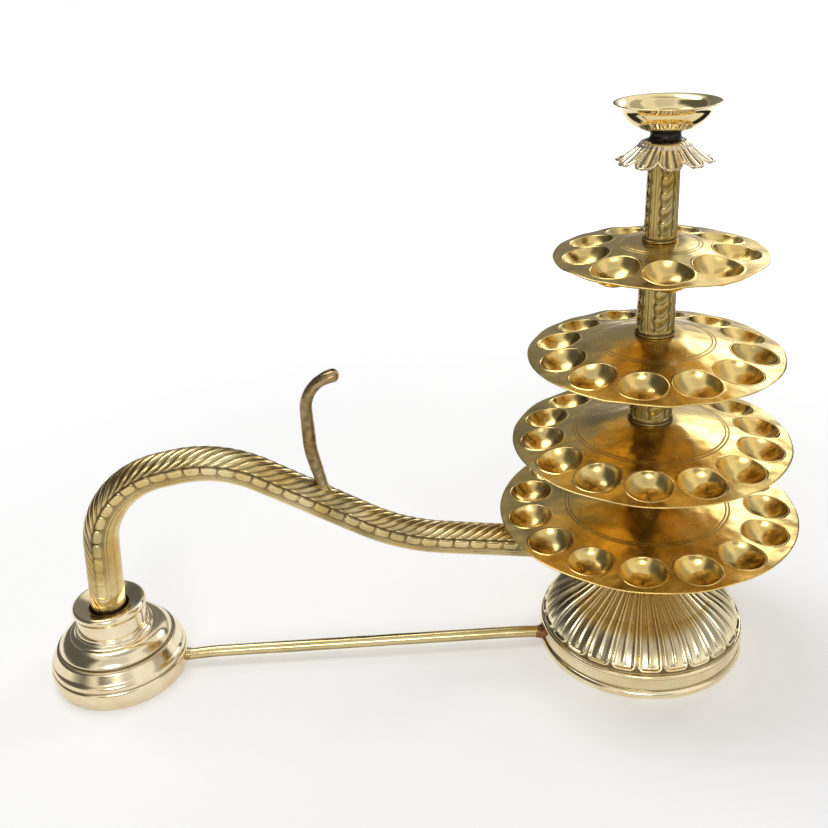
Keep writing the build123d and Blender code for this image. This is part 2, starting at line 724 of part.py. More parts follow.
# Brace rod, let into a hole in each foot
brace_start = handle_x + handle_bead_radius - brace_let_in
brace_stop = column_x - foot_radius + brace_let_in
with BuildPart() as brace_rod:
    with BuildSketch(Plane((brace_start, 0, brace_height), x_dir=(0, 1, 0), z_dir=(1, 0, 0))):
        Circle(brace_radius)
    extrude(amount=brace_stop - brace_start)
brace_rod.part.label = "brace_rod"
export_step(brace_rod.part, "parts/brace_rod.step")

# Fillets of brazing round the rod where it meets each foot
with BuildPart() as brace_brazing_lamp:
    with BuildSketch(Plane((brace_stop, 0, brace_height), x_dir=(0, 1, 0), z_dir=(-1, 0, 0))):
        Circle(lamp_brazing_radius)
    extrude(amount=brace_let_in + brazing_length, taper=brazing_taper)
    add(foot_envelope.part, mode=Mode.SUBTRACT)
    add(brace_rod.part, mode=Mode.SUBTRACT)
brace_brazing_lamp.part.label = "brace_brazing_lamp"
export_step(brace_brazing_lamp.part, "parts/brace_brazing_lamp.step")

with BuildPart() as brace_brazing_handle:
    with BuildSketch(Plane((brace_start, 0, brace_height), x_dir=(0, 1, 0), z_dir=(1, 0, 0))):
        Circle(brazing_radius)
    extrude(amount=brace_let_in + brazing_length, taper=brazing_taper)
    add(handle_foot_envelope.part, mode=Mode.SUBTRACT)
    add(brace_rod.part, mode=Mode.SUBTRACT)
brace_brazing_handle.part.label = "brace_brazing_handle"
export_step(brace_brazing_handle.part, "parts/brace_brazing_handle.step")
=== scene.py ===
"""Brass aarti lamp: its looks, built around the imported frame. Shapes are in millimetres, as in the part."""

import json
import math

import bmesh
import bpy
import numpy as np
from mathutils import Euler, Matrix, Vector


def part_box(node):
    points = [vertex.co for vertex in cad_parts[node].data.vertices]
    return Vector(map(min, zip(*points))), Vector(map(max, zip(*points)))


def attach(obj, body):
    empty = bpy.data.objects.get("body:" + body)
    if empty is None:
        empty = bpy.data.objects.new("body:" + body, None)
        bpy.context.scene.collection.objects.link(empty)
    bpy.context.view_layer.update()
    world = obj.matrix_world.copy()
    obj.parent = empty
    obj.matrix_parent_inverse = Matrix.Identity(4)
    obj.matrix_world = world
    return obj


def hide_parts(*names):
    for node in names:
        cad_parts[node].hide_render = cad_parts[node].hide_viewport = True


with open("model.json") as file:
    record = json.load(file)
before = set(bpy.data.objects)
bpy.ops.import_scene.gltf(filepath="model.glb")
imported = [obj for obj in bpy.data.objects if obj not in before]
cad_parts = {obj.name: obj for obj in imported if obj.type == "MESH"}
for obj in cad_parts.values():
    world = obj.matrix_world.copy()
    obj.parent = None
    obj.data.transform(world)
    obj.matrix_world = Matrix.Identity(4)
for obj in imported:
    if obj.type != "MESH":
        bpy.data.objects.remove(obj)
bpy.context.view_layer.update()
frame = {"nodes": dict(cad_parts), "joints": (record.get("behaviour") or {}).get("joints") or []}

nodes = frame["nodes"]
MM = 0.001
FULL_TURN = 2 * math.pi

# Places taken from the frame
column_x = frame["joints"][0]["pos_m"][0] / MM
handle_low, handle_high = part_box("handle_foot")
handle_x = (handle_low.x + handle_high.x) / 2 / MM
tiers = (1, 2, 3, 4)
tier_box = {tier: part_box(f"tier_plate_{tier}") for tier in tiers}
tier_level = {tier: high.z / MM for tier, (low, high) in tier_box.items()}
tier_radius = {tier: (high.x - low.x) / 2 / MM for tier, (low, high) in tier_box.items()}

# Camera, solved from the round rims in the picture. Its turn is in degrees about X, Y and Z
camera_place = Vector((7.3, -627.2, 511.25))
camera_turn = (64.0955, 3.146, -1.7633)
camera_lens, camera_sensor, camera_near = 42.81, 36.0, 0.01


def smooth(low, high, x):
    """Eases from 0 at low to 1 at high."""
    t = np.clip((x - low) / (high - low), 0, 1)
    return t * t * (3 - 2 * t)


def bell(x, centre, width):
    """A round bump of height 1 about centre."""
    return np.exp(-(((x - centre) / width) ** 2))


def ripple(x, y, size, seed, waves=9):
    """Smooth unevenness, about -1 to 1, with swells about as wide as size."""
    draw = np.random.default_rng(seed)
    total = np.zeros(np.broadcast(x, y).shape)
    for _ in range(waves):
        heading = draw.uniform(0, FULL_TURN)
        pitch = size * draw.uniform(0.7, 1.7)
        run = x * math.cos(heading) + y * math.sin(heading)
        total += np.sin(run * FULL_TURN / pitch + draw.uniform(0, FULL_TURN))
    return total / math.sqrt(2 * waves)


def around(count):
    """Angles of evenly spaced points round a circle."""
    return np.arange(count) * FULL_TURN / count


def spun(points, turn):
    """Points turned about the upright axis."""
    c, s = math.cos(turn), math.sin(turn)
    x, y = points[:, 0], points[:, 1]
    return np.column_stack([x * c - y * s, x * s + y * c, points[:, 2]])


def lengths(points):
    """How far along a row of points each one lies."""
    return np.append(0, np.cumsum(np.linalg.norm(np.diff(points, axis=0), axis=1)))


def arc(start, middle, end, steps):
    """Points on the round arc from start by middle to end, without the first one."""
    a, b, c = (np.array(p, float) for p in (start, middle, end))
    rows = np.array([b - a, c - a])
    sums = np.array([(b @ b - a @ a) / 2, (c @ c - a @ a) / 2])
    hub = np.linalg.solve(rows, sums)
    turn = [math.atan2(*(p - hub)[::-1]) for p in (a, b, c)]
    way = 1 if (turn[1] - turn[0]) % FULL_TURN < (turn[2] - turn[0]) % FULL_TURN else -1
    sweep = ((turn[2] - turn[0]) * way) % FULL_TURN * way
    angles = turn[0] + sweep * np.arange(1, steps + 1) / steps
    radius = np.linalg.norm(a - hub)
    return [tuple(hub + radius * np.array([math.cos(t), math.sin(t)])) for t in angles]


def line(start, end, steps):
    """Points on the straight line from start to end, without the first one."""
    a, b = np.array(start, float), np.array(end, float)
    return [tuple(a + (b - a) * i / steps) for i in range(1, steps + 1)]


def outline(start, *strokes):
    """Points of an outline. A stroke is a line, (end, steps), or an arc, (middle, end, steps)."""
    points = [start]
    for *middle, end, steps in strokes:
        points += arc(points[-1], middle[0], end, steps) if middle else line(points[-1], end, steps)
    return points


def within_corner(across, along, corner):
    """How far inside a rounded corner a point lies, from its distances to the two sides."""
    inside = corner - np.hypot(np.clip(corner - across, 0, None), np.clip(corner - along, 0, None))
    return np.where((across > corner) & (along > corner), np.minimum(across, along), inside)


def placed(name, data):
    """A new object in the scene."""
    obj = bpy.data.objects.new(name, data)
    bpy.context.scene.collection.objects.link(obj)
    return obj


def piece(name, points, faces, darkening=None, weld=0.0):
    """A smooth mesh. Darkening, 0 to 1, marks where a finish darkens towards its colour of tarnish and
    painted shade, or how much of a screen shows.
    """
    mesh = bpy.data.meshes.new(name)
    mesh.from_pydata((np.asarray(points) * MM).tolist(), [], faces)
    if darkening is not None:
        layer = mesh.attributes.new("darkening", "FLOAT", "POINT")
        layer.data.foreach_set("value", np.asarray(darkening, np.float32).ravel())
    work = bmesh.new()
    work.from_mesh(mesh)
    if weld:
        bmesh.ops.remove_doubles(work, verts=work.verts, dist=weld * MM)
    bmesh.ops.recalc_face_normals(work, faces=work.faces)
    work.to_mesh(mesh)
    work.free()
    mesh.polygons.foreach_set("use_smooth", np.ones(len(mesh.polygons), bool))
    return placed(name, mesh)


def grid_faces(ids):
    """Quads over a grid of point numbers."""
    return np.stack([ids[:-1, :-1], ids[:-1, 1:], ids[1:, 1:], ids[1:, :-1]], -1).reshape(-1, 4).tolist()


def tube(name, points, darkening=None, hollow=False):
    """A closed skin over rings of points: lids on its ends, or the ends joined to each other if hollow."""
    rows, columns = points.shape[:2]
    ids = np.arange(rows * columns).reshape(rows, columns)
    ids = np.hstack([ids, ids[:, :1]])
    faces = grid_faces(np.vstack([ids, ids[:1]]) if hollow else ids)
    if not hollow:
        faces += [ids[0, :-1].tolist(), ids[-1, :-1].tolist()]
    return piece(name, points.reshape(-1, 3), faces, darkening)


turned_segments = 192


def turned(centre_x, profile, relief=0.0, segments=turned_segments):
    """Rings of points of a profile of (radius, height) turned about an upright axis, pushed out by relief."""
    profile = np.array(profile)
    run = np.gradient(profile, axis=0)
    normal = np.stack([run[:, 1], -run[:, 0]], -1)
    normal /= np.maximum(np.linalg.norm(normal, axis=1, keepdims=True), 1e-9)
    angle = around(segments)
    push = relief + np.zeros((len(profile), segments))
    radius = profile[:, :1] + normal[:, :1] * push
    height = profile[:, 1:] + normal[:, 1:] * push
    return np.stack([centre_x + radius * np.cos(angle), radius * np.sin(angle), height], -1)


def thicken(obj, thickness):
    """Gives a skin the thickness of its sheet, downwards."""
    up = sum(p.normal.z * p.area for p in obj.data.polygons)
    sheet = obj.modifiers.new("sheet", "SOLIDIFY")
    sheet.thickness = thickness * MM
    sheet.offset = -1 if up > 0 else 1
    return obj


def dress(obj, body, slot, material, *stands_for):
    """Gives a piece its finish and the body that it moves with."""
    obj.data.materials.clear()
    obj.data.materials.append(material)
    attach(obj, body)
    if stands_for:
        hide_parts(*stands_for)


def joined(tree, operation, first, second):
    """A node that works out one number from two sockets, or from a socket and a number."""
    node = tree.nodes.new("ShaderNodeMath")
    node.operation = operation
    for socket, value in zip(node.inputs, (first, second)):
        if isinstance(value, (int, float)):
            socket.default_value = value
        else:
            tree.links.new(value, socket)
    return node.outputs["Value"]


# Finishes: how wide the marks of age are, how far noise swings, what the stains are like, and how far the
# mask of tarnish and painted shade darkens and dulls
blotch_size, cloud_size, speck_size, wear_size, scratch_size = 28, 34, 2.4, 9, 1.3
scratch_stretch = (1.0, 1.0, 0.25)
noise_swing, cloud_swing, speck_swing = (0.35, 0.65), (0.5, 0.68), (0.62, 0.75)
blotch_bias = (1.0, 1.5, 2.4)
cloud_colour, speck_colour = (0.36, 0.31, 0.15), (0.25, 0.2, 0.08)
darkening_start, darkening_most, darkening_dull = 0.05, 0.92, 0.3
gloss_best, gloss_worst = 0.8, 1.25


def brass(
    name, colour, tarnish_and_shade, roughness,
    dent=0.0, dent_size=14.0, grain=0.02, blotch=0.12, stain=0.0, speck=0.7,
):
    """Brass with uneven colour, tarnish and painted shade where its mask says, worn gloss, stains, shallow
    dents and fine scratches.
    """
    material = bpy.data.materials.new(name)
    material.use_nodes = True
    tree = material.node_tree
    shader = tree.nodes["Principled BSDF"]
    shader.inputs["Metallic"].default_value = 1.0
    place = tree.nodes.new("ShaderNodeTexCoord")
    attribute = tree.nodes.new("ShaderNodeAttribute")
    attribute.attribute_name = "darkening"
    darkening = attribute.outputs["Fac"]

    def noise(size, detail, stretch=None):
        node = tree.nodes.new("ShaderNodeTexNoise")
        node.inputs["Scale"].default_value = 1 / (size * MM)
        node.inputs["Detail"].default_value = detail
        source = place.outputs["Object"]
        if stretch:
            mapping = tree.nodes.new("ShaderNodeMapping")
            mapping.inputs["Scale"].default_value = stretch
            tree.links.new(source, mapping.inputs["Vector"])
            source = mapping.outputs["Vector"]
        tree.links.new(source, node.inputs["Vector"])
        return node.outputs["Fac"]

    def spread(source, low, high, swing=noise_swing):
        node = tree.nodes.new("ShaderNodeMapRange")
        for socket, value in zip(("From Min", "From Max", "To Min", "To Max"), (*swing, low, high)):
            node.inputs[socket].default_value = value
        tree.links.new(source, node.inputs["Value"])
        return node.outputs["Result"]

    def blend(amount, first, second):
        node = tree.nodes.new("ShaderNodeMix")
        node.data_type = "RGBA"
        tree.links.new(amount, node.inputs["Factor"])
        for socket, value in ((node.inputs["A"], first), (node.inputs["B"], second)):
            if isinstance(value, tuple):
                socket.default_value = (*value, 1.0)
            else:
                tree.links.new(value, socket)
        return node.outputs["Result"]

    def bump(height, depth, under=None):
        node = tree.nodes.new("ShaderNodeBump")
        node.inputs["Strength"].default_value = 1.0
        node.inputs["Distance"].default_value = depth * MM
        tree.links.new(height, node.inputs["Height"])
        if under is not None:
            tree.links.new(under, node.inputs["Normal"])
        return node.outputs["Normal"]

    deep = tuple(c * (1 - blotch * k) for c, k in zip(colour, blotch_bias))
    patchy = blend(spread(noise(blotch_size, 3), 0, 1), colour, deep)
    if stain:
        patchy = blend(spread(noise(cloud_size, 6), 0, stain, cloud_swing), patchy, cloud_colour)
    if stain and speck:
        patchy = blend(spread(noise(speck_size, 3), 0, stain * speck, speck_swing), patchy, speck_colour)
    # Tarnish and painted shade: the colour darkens towards the second colour given wherever the mask is high
    dark = spread(darkening, 0, darkening_most, (darkening_start, 1))
    tree.links.new(blend(dark, patchy, tarnish_and_shade), shader.inputs["Base Color"])
    worn = spread(noise(wear_size, 4), roughness * gloss_best, roughness * gloss_worst)
    dull = spread(darkening, 0, darkening_dull, (0, 1))
    tree.links.new(joined(tree, "ADD", worn, dull), shader.inputs["Roughness"])
    dented = bump(noise(dent_size, 2), dent) if dent else None
    scratched = bump(noise(scratch_size, 2, scratch_stretch), grain, dented)
    tree.links.new(scratched, shader.inputs["Normal"])
    return material


plate_finish = brass(
    "plate_sheet", (0.92, 0.69, 0.26), (0.20, 0.12, 0.03), 0.23, dent=2.4, dent_size=34, stain=0.7, speck=0.0
)
# The sleeves' brass is darkened as painted shade for the dark surroundings it reflects; its stains are its
# own
column_shaded_finish = brass(
    "column_chased_shaded", (0.42, 0.32, 0.115), (0.05, 0.035, 0.012), 0.18, blotch=0.25, stain=1.0
)
bowl_finish = brass("bowl_polish", (0.93, 0.79, 0.45), (0.2, 0.12, 0.04), 0.1, grain=0.01)
spool_finish = brass("spool_black", (0.03, 0.028, 0.026), (0.01, 0.01, 0.01), 0.3)
petal_finish = brass("petal_silvered", (0.88, 0.80, 0.63), (0.10, 0.07, 0.035), 0.24)
foot_finish = brass("foot_casting", (0.95, 0.84, 0.57), (0.13, 0.08, 0.025), 0.14)
hub_finish = brass("hub_turned", (0.66, 0.5, 0.22), (0.12, 0.08, 0.03), 0.25)
handle_finish = brass(
    "handle_chased", (0.79, 0.64, 0.34), (0.06, 0.038, 0.012), 0.15, blotch=0.26, stain=0.95
)
base_finish = brass("base_casting", (0.92, 0.81, 0.58), (0.12, 0.08, 0.04), 0.14, grain=0.012)
rest_finish = brass(
    "rest_cast", (0.43, 0.33, 0.18), (0.07, 0.045, 0.02), 0.3, dent=0.3, dent_size=4, blotch=0.25
)
braze_finish = brass(
    "braze", (0.66, 0.54, 0.30), (0.1, 0.07, 0.03), 0.3, dent=0.4, dent_size=3, blotch=0.35, stain=0.7
)
copper_finish = brass(
    "braze_copper", (0.42, 0.22, 0.12), (0.09, 0.04, 0.02), 0.32, dent=0.4, dent_size=3, blotch=0.3
)
brace_finish = brass("brace_drawn", (0.74, 0.62, 0.33), (0.13, 0.09, 0.035), 0.2, stain=0.3)
inner_finish = brass("inner_turned", (0.66, 0.5, 0.22), (0.2, 0.14, 0.06), 0.3)
steel_finish = brass("steel_zinc", (0.55, 0.54, 0.52), (0.2, 0.2, 0.2), 0.32, blotch=0.05)

# Plates: domed sheet with pressed cups, two scribed circles and the slight buckle of beaten metal
plate_seat = 19.0
plate_bore = 4.3
plate_sheet = 1.4
plate_sag = 1.2
plate_ease = 2.5
plate_weld = 0.02
tier_rise = {1: 9.3, 2: 14.6, 3: 15.6, 4: 9.5}
tier_cups = {1: 9, 2: 12, 3: 14, 4: 15}
tier_phase = {1: 22.0, 2: 10.0, 3: -1.0, 4: 15.6}
tier_circle = {1: 27.0, 2: 40.5, 3: 54.5, 4: 59.5}
tier_buckle = {1: 0.7, 2: 0.5, 3: 0.4, 4: 0.4}
swell_size, swell_height, swell_seed = 60, 0.35, 10
wave_size, wave_seed, buckle_reach = 30, 30, 14
circle_gap, circle_depth, circle_width, circle_clear, circle_shade = 2.3, 0.22, 0.45, 1.5, 0.7
rim_flat, rim_round = 0.6, {0.25: 0.08, 0.0: 0.35}
cup_mouth = 15.5
cup_depth = 11.0
cup_inset = 21.0
cup_lip = 0.9
cup_margin = 18.3
cup_bank, cup_stand, bank_stand = 0.5, 0.28, 0.17
cup_spread, cup_seed = (0.95, 1.03), 70
outer_steps, side_steps, inner_steps = 14, 12, 10
dome_steps, circle_steps, rim_steps, lip_steps, dish_steps = 30, 7, 5, 6, 14
bank_shares = (0.0, 0.3, 0.6, 0.85)
dish_end = 0.05


def dome_height(tier, radius):
    """Height of the plate's top, before any buckle, at a distance from the column."""
    past = radius - plate_seat
    past = (past + np.sqrt(past * past + plate_ease**2)) / 2
    share = past / (tier_radius[tier] - plate_seat)
    return tier_level[tier] - tier_rise[tier] * share - 4 * plate_sag * share * (1 - share)


def buckle(tier, x, y):
    """How far the sheet stands off its true dome: a little all over, more along the rim."""
    radius = np.hypot(x, y)
    rim = tier_radius[tier]
    clear = smooth(plate_seat, plate_seat + buckle_reach, radius)
    swell = ripple(x, y, swell_size, swell_seed + tier) * swell_height
    heading = np.arctan2(y, x)
    wave = ripple(rim * np.cos(heading), rim * np.sin(heading), wave_size, wave_seed + tier)
    return clear * (swell + tier_buckle[tier] * wave * smooth(rim - buckle_reach, rim, radius))


def cup_profile():
    """Radius and depth of the cup, from its raised and rounded lip to its middle."""
    dish = (cup_mouth**2 + cup_depth**2) / (2 * cup_depth)
    lift = dish - cup_depth
    lip_out = math.sqrt((dish + cup_lip) ** 2 - (lift + cup_lip) ** 2)
    lean = math.atan2(lift + cup_lip, lip_out)
    bank = [(lip_out + cup_bank, 0.0), (lip_out + cup_bank / 2, -bank_stand)]
    lip = [
        (lip_out + cup_lip * math.cos(t), cup_lip * (1 - math.sin(t)) - cup_stand)
        for t in np.linspace(math.pi / 2, math.pi - lean, lip_steps)
    ]
    start = math.asin(lip[-1][0] / dish)
    bowl = [
        (dish * math.sin(t), dish * math.cos(t) - lift - cup_stand)
        for t in np.linspace(start, dish_end, dish_steps)[1:]
    ]
    return bank + lip + bowl


def cup_border(ring, half, inner, outer):
    """Edge of the patch of sheet that holds one cup, as seen from the cup's middle."""
    sides = [
        *[(outer, t) for t in np.linspace(-half, half, outer_steps + 1)[:-1]],
        *[(r, half) for r in np.linspace(outer, inner, side_steps + 1)[:-1]],
        *[(inner, t) for t in np.linspace(half, -half, inner_steps + 1)[:-1]],
        *[(r, -half) for r in np.linspace(inner, outer, side_steps + 1)[:-1]],
    ]
    return np.array([(r * math.cos(t) - ring, r * math.sin(t)) for r, t in sides])


def cup_rings(tier, ring, border, depth):
    """Rings of points from the border of a patch, over the cup's lip, down to its middle."""
    heading = np.arctan2(border[:, 1], border[:, 0])
    toward = np.stack([np.cos(heading), np.sin(heading)], -1)
    profile = cup_profile()
    mouth = profile[0][0]
    lean = math.atan((dome_height(tier, ring - 1.0) - dome_height(tier, ring + 1.0)) / 2)
    rings = []
    for share in bank_shares:
        flat = border + (toward * mouth - border) * share + (ring, 0.0)
        rings.append(np.column_stack([flat, dome_height(tier, np.hypot(flat[:, 0], flat[:, 1]))]))
    for radius, down in profile:
        along, across = radius * toward[:, 0], radius * toward[:, 1]
        x = ring + along * math.cos(lean) - depth * down * math.sin(lean)
        tilted = dome_height(tier, ring) - along * math.sin(lean)
        settle = (dome_height(tier, np.hypot(x, across)) - tilted) * (radius / mouth) ** 2
        rings.append(np.column_stack([x, across, tilted - depth * down * math.cos(lean) + settle]))
    return rings


def plate(tier):
    """Top skin of one plate as points, faces and cavity, in the plate's own turn."""
    count, rim = tier_cups[tier], tier_radius[tier]
    ring = rim - cup_inset
    half = math.pi / count
    inner, outer = ring - cup_margin, ring + cup_margin
    points, faces, darkening = [], [], []

    def extend(block, dark=0.0):
        first = len(points)
        points.extend(block.tolist())
        darkening.extend([dark] * len(block))
        return np.arange(first, first + len(block))

    def annulus(radii, segments, dark, drop):
        angle = np.arange(segments + 1) * FULL_TURN / segments - half
        rows = []
        for radius, shade, sink in zip(radii, dark, drop):
            x, y = radius * np.cos(angle), radius * np.sin(angle)
            z = dome_height(tier, np.hypot(x, y)) - sink
            rows.append(extend(np.stack([x, y, z], -1), shade))
        faces.extend(grid_faces(np.array(rows)))

    scribed = [tier_circle[tier], tier_circle[tier] - circle_gap]
    radii = np.unique(np.concatenate([
        np.linspace(plate_bore, inner, dome_steps),
        *[
            np.linspace(c - 2 * circle_width, c + 2 * circle_width, circle_steps)
            for c in scribed if c < inner - circle_clear
        ],
    ]))
    cut = sum(bell(radii, c, circle_width) for c in scribed)
    annulus(radii, count * inner_steps, cut * circle_shade, cut * circle_depth)
    edge = np.append(np.linspace(outer, rim - rim_flat, rim_steps), [rim - inset for inset in rim_round])
    edge_drop = np.append(np.zeros(rim_steps), list(rim_round.values()))
    annulus(edge, count * outer_steps, np.zeros(len(edge)), edge_drop)

    border = cup_border(ring, half, inner, outer)
    draw = np.random.default_rng(cup_seed + tier)
    for cup in range(count):
        rings = cup_rings(tier, ring, border, draw.uniform(*cup_spread))
        rows = [extend(spun(block, FULL_TURN * cup / count)) for block in rings]
        faces.extend(grid_faces(np.array([np.append(row, row[0]) for row in rows])))
        faces.append(rows[-1].tolist())

    points = np.array(points)
    points[:, 2] += buckle(tier, points[:, 0], points[:, 1])
    return spun(points, math.radians(tier_phase[tier])) + (column_x, 0, 0), faces, darkening


for tier in tiers:
    plate_skin = thicken(piece(f"plate_{tier}", *plate(tier), weld=plate_weld), plate_sheet)
    dress(plate_skin, f"tier_{tier}", "plate_brass", plate_finish, f"tier_plate_{tier}")

# Sleeves: chased with upright feathers between plain leaves, a bright bead at the foot, and painted shade in
# the hollows and cut lines of the chasing and in the crease over the bead
sleeve_length = 63.5
sleeve_foot = {1: 11.0, 2: 13.1, 3: 15.2, 4: 15.8}
sleeve_top = {1: 10.2, 2: 12.0, 3: 13.8, 4: 14.5}
sleeve_bead = 0.9
sleeve_rows, sleeve_segments, bead_steps = 170, 176, 6
feather_count = 4
feather_pitch = 9.5
feather_depth = 0.5
feather_turn = math.radians(-85)
feather_half, feather_wave = 0.58, 0.05
feather_slant, feather_droop = 0.55, 0.75
feather_soft, feather_fade, feather_set = (0.05, -0.05), (1.0, 0.45), 0.8
slit_at, border_width, vein_at, side_vein_at = (0.62, 0.07), 0.045, (1.0, 0.05), (0.77, 0.035)
slit_cut, border_cut, vein_cut, side_vein = 0.2, 0.45, 0.35, 0.8
low_shade, slit_shade, border_shade, vein_shade = 0.55, 0.4, 0.5, 0.6


def sleeve(tier):
    """Rings of points and darkening of one chased sleeve; the darkening is painted shade."""
    level, foot, top = tier_level[tier], sleeve_foot[tier], sleeve_top[tier]
    bead_top = 2 * sleeve_bead
    profile = np.array(outline(
        (foot, level),
        ((foot + sleeve_bead, level + sleeve_bead), (foot, level + bead_top), bead_steps),
        ((top, level + sleeve_length), sleeve_rows),
    ))
    height = profile[:, 1:] - level
    sector = FULL_TURN / feather_count
    across = (around(sleeve_segments) - feather_turn + sector / 2) % sector - sector / 2
    across = across[None, :] / (sector / 2)
    span = np.abs(across)
    leaf = feather_half + feather_wave * np.sin(height * FULL_TURN / feather_pitch)
    inside = smooth(*feather_soft, span - leaf)
    stroke = (height / feather_pitch - feather_slant * across - feather_droop * across**2) % 1
    blade = np.sin(math.pi * stroke**0.8) ** 0.9 * smooth(*feather_fade, span / leaf)
    slit = bell(stroke, *slit_at) * inside
    border = bell(span, leaf, border_width)
    vein = bell(span, *vein_at) + side_vein * bell(span, *side_vein_at)
    carved = smooth(bead_top + 1, bead_top + 4, height)
    feather = feather_depth * (blade - feather_set) * inside - slit_cut * slit
    relief = carved * (feather - border_cut * border - vein_cut * vein)
    low = low_shade * inside * smooth(0.7, 0.2, blade)
    dark = carved * np.clip(low + slit_shade * slit + border_shade * border + vein_shade * vein, 0, 1)
    # Painted shade in the crease just above the bead
    dark = np.maximum(dark, bell(height, bead_top + 0.5, 0.8))
    return turned(column_x, profile, relief, sleeve_segments), np.clip(dark, 0, 1)


for tier in tiers:
    sleeve_skin = tube(f"sleeve_{tier}", *sleeve(tier))
    dress(sleeve_skin, "stand", "column_brass", column_shaded_finish, f"column_sleeve_{tier}")

# Petal collar: ten drooping petals with raised rims and ribs. Its route is (radius, drop) from root to tip
collar_level = tier_level[1] + sleeve_length
petal_count = 10
petal_sheet = 1.1
petal_weld = 0.03
petal_route = ((16.8, 3.4), (22.7, 8.4), (30.6, 13.4))
petal_bore, petal_crown, petal_bend = 4.3, 13.0, (15.4, 1.2)
petal_half = 7.9
petal_round, petal_blunt = 0.56, 2.2
petal_phase = 0.35
petal_rows, petal_columns, crown_steps = 44, 41, 6
petal_parts = (0.22, 0.4)
rim_at, rim_begins, tip_rim_at, rim_height = (0.88, 0.1), (0.0, 0.3), (0.955, 0.04), 0.8
rib_waves, rib_ends, rib_sides, rib_height = 2.9, (0.9, 0.75), (0.78, 0.66), 0.45
split_at, split_ends, split_depth = (1.0, 0.06), (0.6, 0.3), 1.2
hollow_at, hollow_begins, hollow_ends, hollow_depth = (0.68, 0.08), (0.1, 0.3), (0.95, 0.85), 0.4
tip_begins, tip_lift = (0.8, 1.0), 0.3
groove_shade, groove_ends, hollow_shade, crown_shade = 0.9, (0.92, 0.8), 0.7, 0.2


def petals():
    """Top skin of the collar: a crown ring and a fan of broad petals that join at their roots."""
    top = collar_level + petal_sheet
    root, belly, tip = [(radius, top - drop) for radius, drop in petal_route]
    route = np.array(outline(root, (belly, tip, petal_rows)))
    along = np.linspace(0, 1, len(route))[:, None]
    across = np.linspace(-1, 1, petal_columns)[None, :]
    span = np.abs(across)
    sector = math.pi / petal_count
    ended = ((along - petal_round) / (1 - petal_round)).clip(0, 1)
    free = petal_half / route[:, :1] * np.sqrt(np.clip(1 - ended**petal_blunt, 0.0009, 1))
    width = np.minimum(sector, sector + (free - sector) * smooth(*petal_parts, along))
    rim = np.maximum(bell(span, *rim_at) * smooth(*rim_begins, along), bell(along, *tip_rim_at))
    ribs = np.cos(across * math.pi * rib_waves) * smooth(*rib_ends, along) * smooth(*rib_sides, span)
    split = bell(span, *split_at) * smooth(*split_ends, along)
    hollow = bell(span, *hollow_at) * smooth(*hollow_begins, along) * smooth(*hollow_ends, along)
    lift = rim_height * rim + rib_height * ribs - hollow_depth * hollow - split_depth * split
    lift = lift + tip_lift * smooth(*tip_begins, along)
    # Painted shade: darker between the ribs, in the hollows and along the petal edges, and a little over the
    # crown ring
    between = groove_shade * smooth(0.2, -0.8, ribs) * (1 - rim) * smooth(*groove_ends, along)
    groove = np.clip(between + hollow_shade * hollow + split, 0, 1)
    points, faces, darkening = [], [], []

    def extend(radius, angle, height, dark):
        x, y = column_x + radius * np.cos(angle), radius * np.sin(angle)
        block = np.stack([x, y, height + 0 * x], -1)
        ids = len(points) + np.arange(x.size).reshape(x.shape)
        points.extend(block.reshape(-1, 3).tolist())
        darkening.extend((dark + 0 * x).ravel().tolist())
        faces.extend(grid_faces(ids))

    for petal in range(petal_count):
        angle = FULL_TURN * (petal + petal_phase) / petal_count + across * width
        extend(route[:, :1], angle, route[:, 1:] + lift, groove)
    bend = (petal_bend[0], top - petal_bend[1])
    crown = np.array(outline((petal_bore, top), ((petal_crown, top), 1), (bend, root, crown_steps)))
    steps = petal_columns - 1
    angle = FULL_TURN * (np.arange(petal_count * steps + 1) / steps - 0.5 + petal_phase) / petal_count
    ripples = np.append(np.tile(lift[0, :-1], petal_count), lift[0, 0])
    reached = np.clip(np.arange(-1, crown_steps + 1) / crown_steps, 0, 1)[:, None]
    extend(crown[:, :1], angle[None, :], crown[:, 1:] + ripples * reached, crown_shade)
    return np.array(points), faces, darkening


petal_skin = thicken(piece("petals", *petals(), weld=petal_weld), petal_sheet)
dress(petal_skin, "stand", "petal_brass", petal_finish, "petal_collar")

# Black waisted spool and the polished bowl
spool_level = collar_level + 1.2
bowl_level = spool_level + 6.0
spool_profile = outline(
    (4.3, spool_level),
    ((12.0, spool_level), 1),
    ((9.6, spool_level + 3.5), (10.6, bowl_level), 16),
    ((0.5, bowl_level), 2),
)
dress(tube("spool", turned(column_x, spool_profile)), "neck", "bowl_brass", spool_finish, "neck_spool")

bowl_floor = bowl_level + 0.05
bowl_edge, bowl_top = bowl_level + 13.0, bowl_level + 16.6
bowl_profile = outline(
    (0.5, bowl_floor),
    ((10.6, bowl_floor), 1),
    ((21.5, bowl_level + 3.9), (28.5, bowl_edge), 28),
    ((30.5, bowl_edge + 2.2), (32.9, bowl_top), 10),
    ((33.3, bowl_top + 0.4), (32.9, bowl_top + 0.8), 5),
    ((29.9, bowl_edge + 3.2), (27.3, bowl_edge), 12),
    ((20.7, bowl_level + 4.9), (10.3, bowl_level + 1.3), 28),
    ((0.5, bowl_level + 1.2), 3),
)
dress(tube("bowl", turned(column_x, bowl_profile)), "bowl", "bowl_brass", bowl_finish, "top_bowl")

